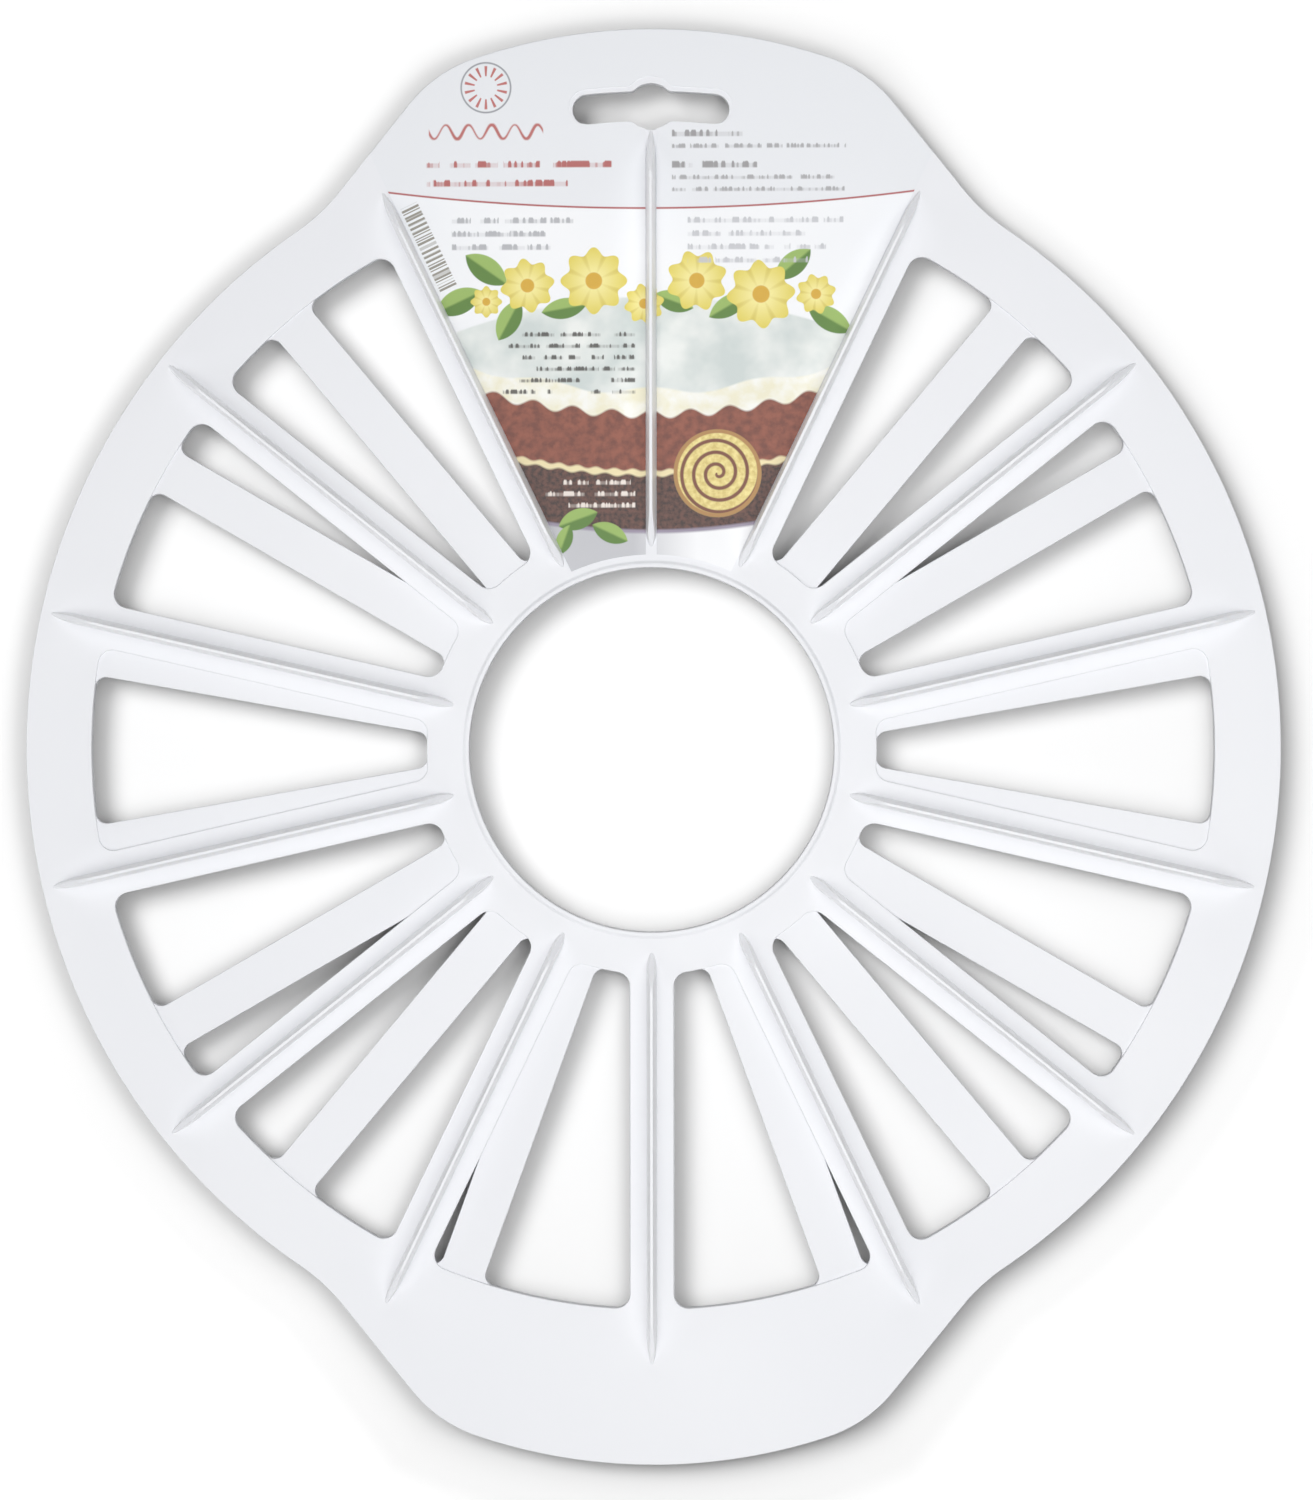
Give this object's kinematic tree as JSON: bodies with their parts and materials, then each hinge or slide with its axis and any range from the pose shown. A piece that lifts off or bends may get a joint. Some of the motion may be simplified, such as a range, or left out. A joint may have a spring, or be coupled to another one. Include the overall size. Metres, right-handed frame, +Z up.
{
  "type": "cake portion marker",
  "caption": "Two-sided white plastic wheel with ears and standing blades, pressed on a round cake to mark equal portions, with a printed sheet on its front.",
  "frame": {"origin": "on the axis of the round hole, at the height of the back blades' ridges", "axes": "+Z up through the front face, +Y towards the ear with the hang slot, +X across the disc"},
  "size_m": [0.275, 0.3148, 0.015],
  "materials": {
    "white_plastic": "satin moulded white with a slightly cool cast",
    "printed_sheet": "smooth coated sheet, printed in colour on its upper face"
  },
  "bodies": {
    "root": {"divider": "white_plastic", "printed_sheet": "printed_sheet"}
  },
  "joints": []
}
